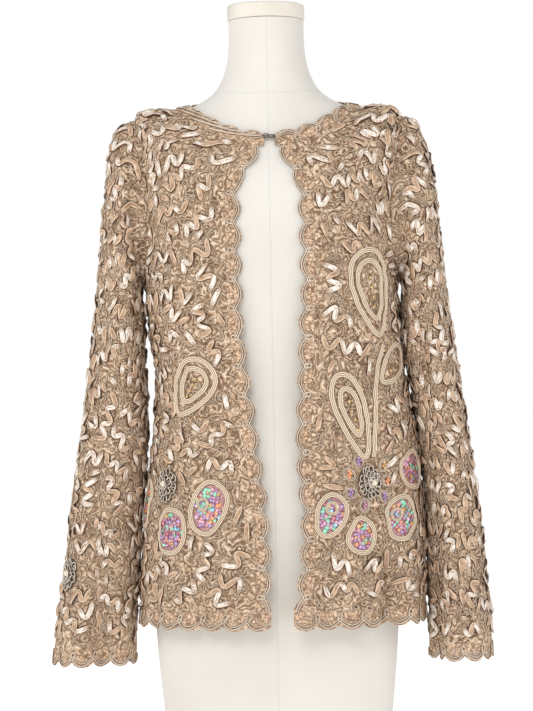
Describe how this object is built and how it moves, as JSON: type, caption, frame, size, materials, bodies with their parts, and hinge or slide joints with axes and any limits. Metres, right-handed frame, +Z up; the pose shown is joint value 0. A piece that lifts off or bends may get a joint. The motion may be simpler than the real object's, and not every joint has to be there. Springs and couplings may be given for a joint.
{
  "type": "lace cardigan on a limbless dress form",
  "caption": "Long-sleeved, hip-length lace cardigan, open down the front, with scalloped edges, ribbon work and beaded flowers, worn by a limbless dress form.",
  "frame": {"origin": "middle of the underside of the dress form's base board, on the surface that it stands on", "axes": "+Z up, -Y towards the viewer who faces the open front, +X to that viewer's right"},
  "size_m": [0.5707, 0.2796, 0.9524],
  "materials": {
    "lace": "matte lace with satin ribbon",
    "edging": "satin cord",
    "tape": "ribbed satin",
    "sequins": "iridescent",
    "beads": "polished",
    "hook": "dark, polished",
    "form_cover": "plain cotton jersey",
    "form_wood": "painted, satin"
  },
  "bodies": {
    "root": {"front_left": "lace", "front_right": "lace", "back": "lace", "sleeve_left": "lace", "sleeve_right": "lace", "edging_front_left": "edging", "edging_front_right": "edging", "edging_hem": "edging", "edging_neck": "edging", "edging_cuff_left": "edging", "edging_cuff_right": "edging", "leaf_left_outer": "tape", "leaf_left_inner": "tape", "leaf_right_upper_outer": "tape", "leaf_right_upper_inner": "tape", "leaf_right_lower_outer": "tape", "leaf_right_lower_inner": "tape", "leaf_right_side_outer": "tape", "leaf_stem": "tape", "closure_hook": "hook", "petal_left_inner": "sequins", "petal_left_lower": "sequins", "petal_left_side": "sequins", "petal_right_1": "sequins", "petal_right_2": "sequins", "petal_right_3": "sequins", "petal_right_4": "sequins", "flower_heart_left": "beads", "flower_heart_right": "beads", "flower_heart_sleeve": "beads", "form_torso": "form_cover", "form_neck_cap": "form_wood", "form_base_board": "form_wood"}
  },
  "joints": []
}
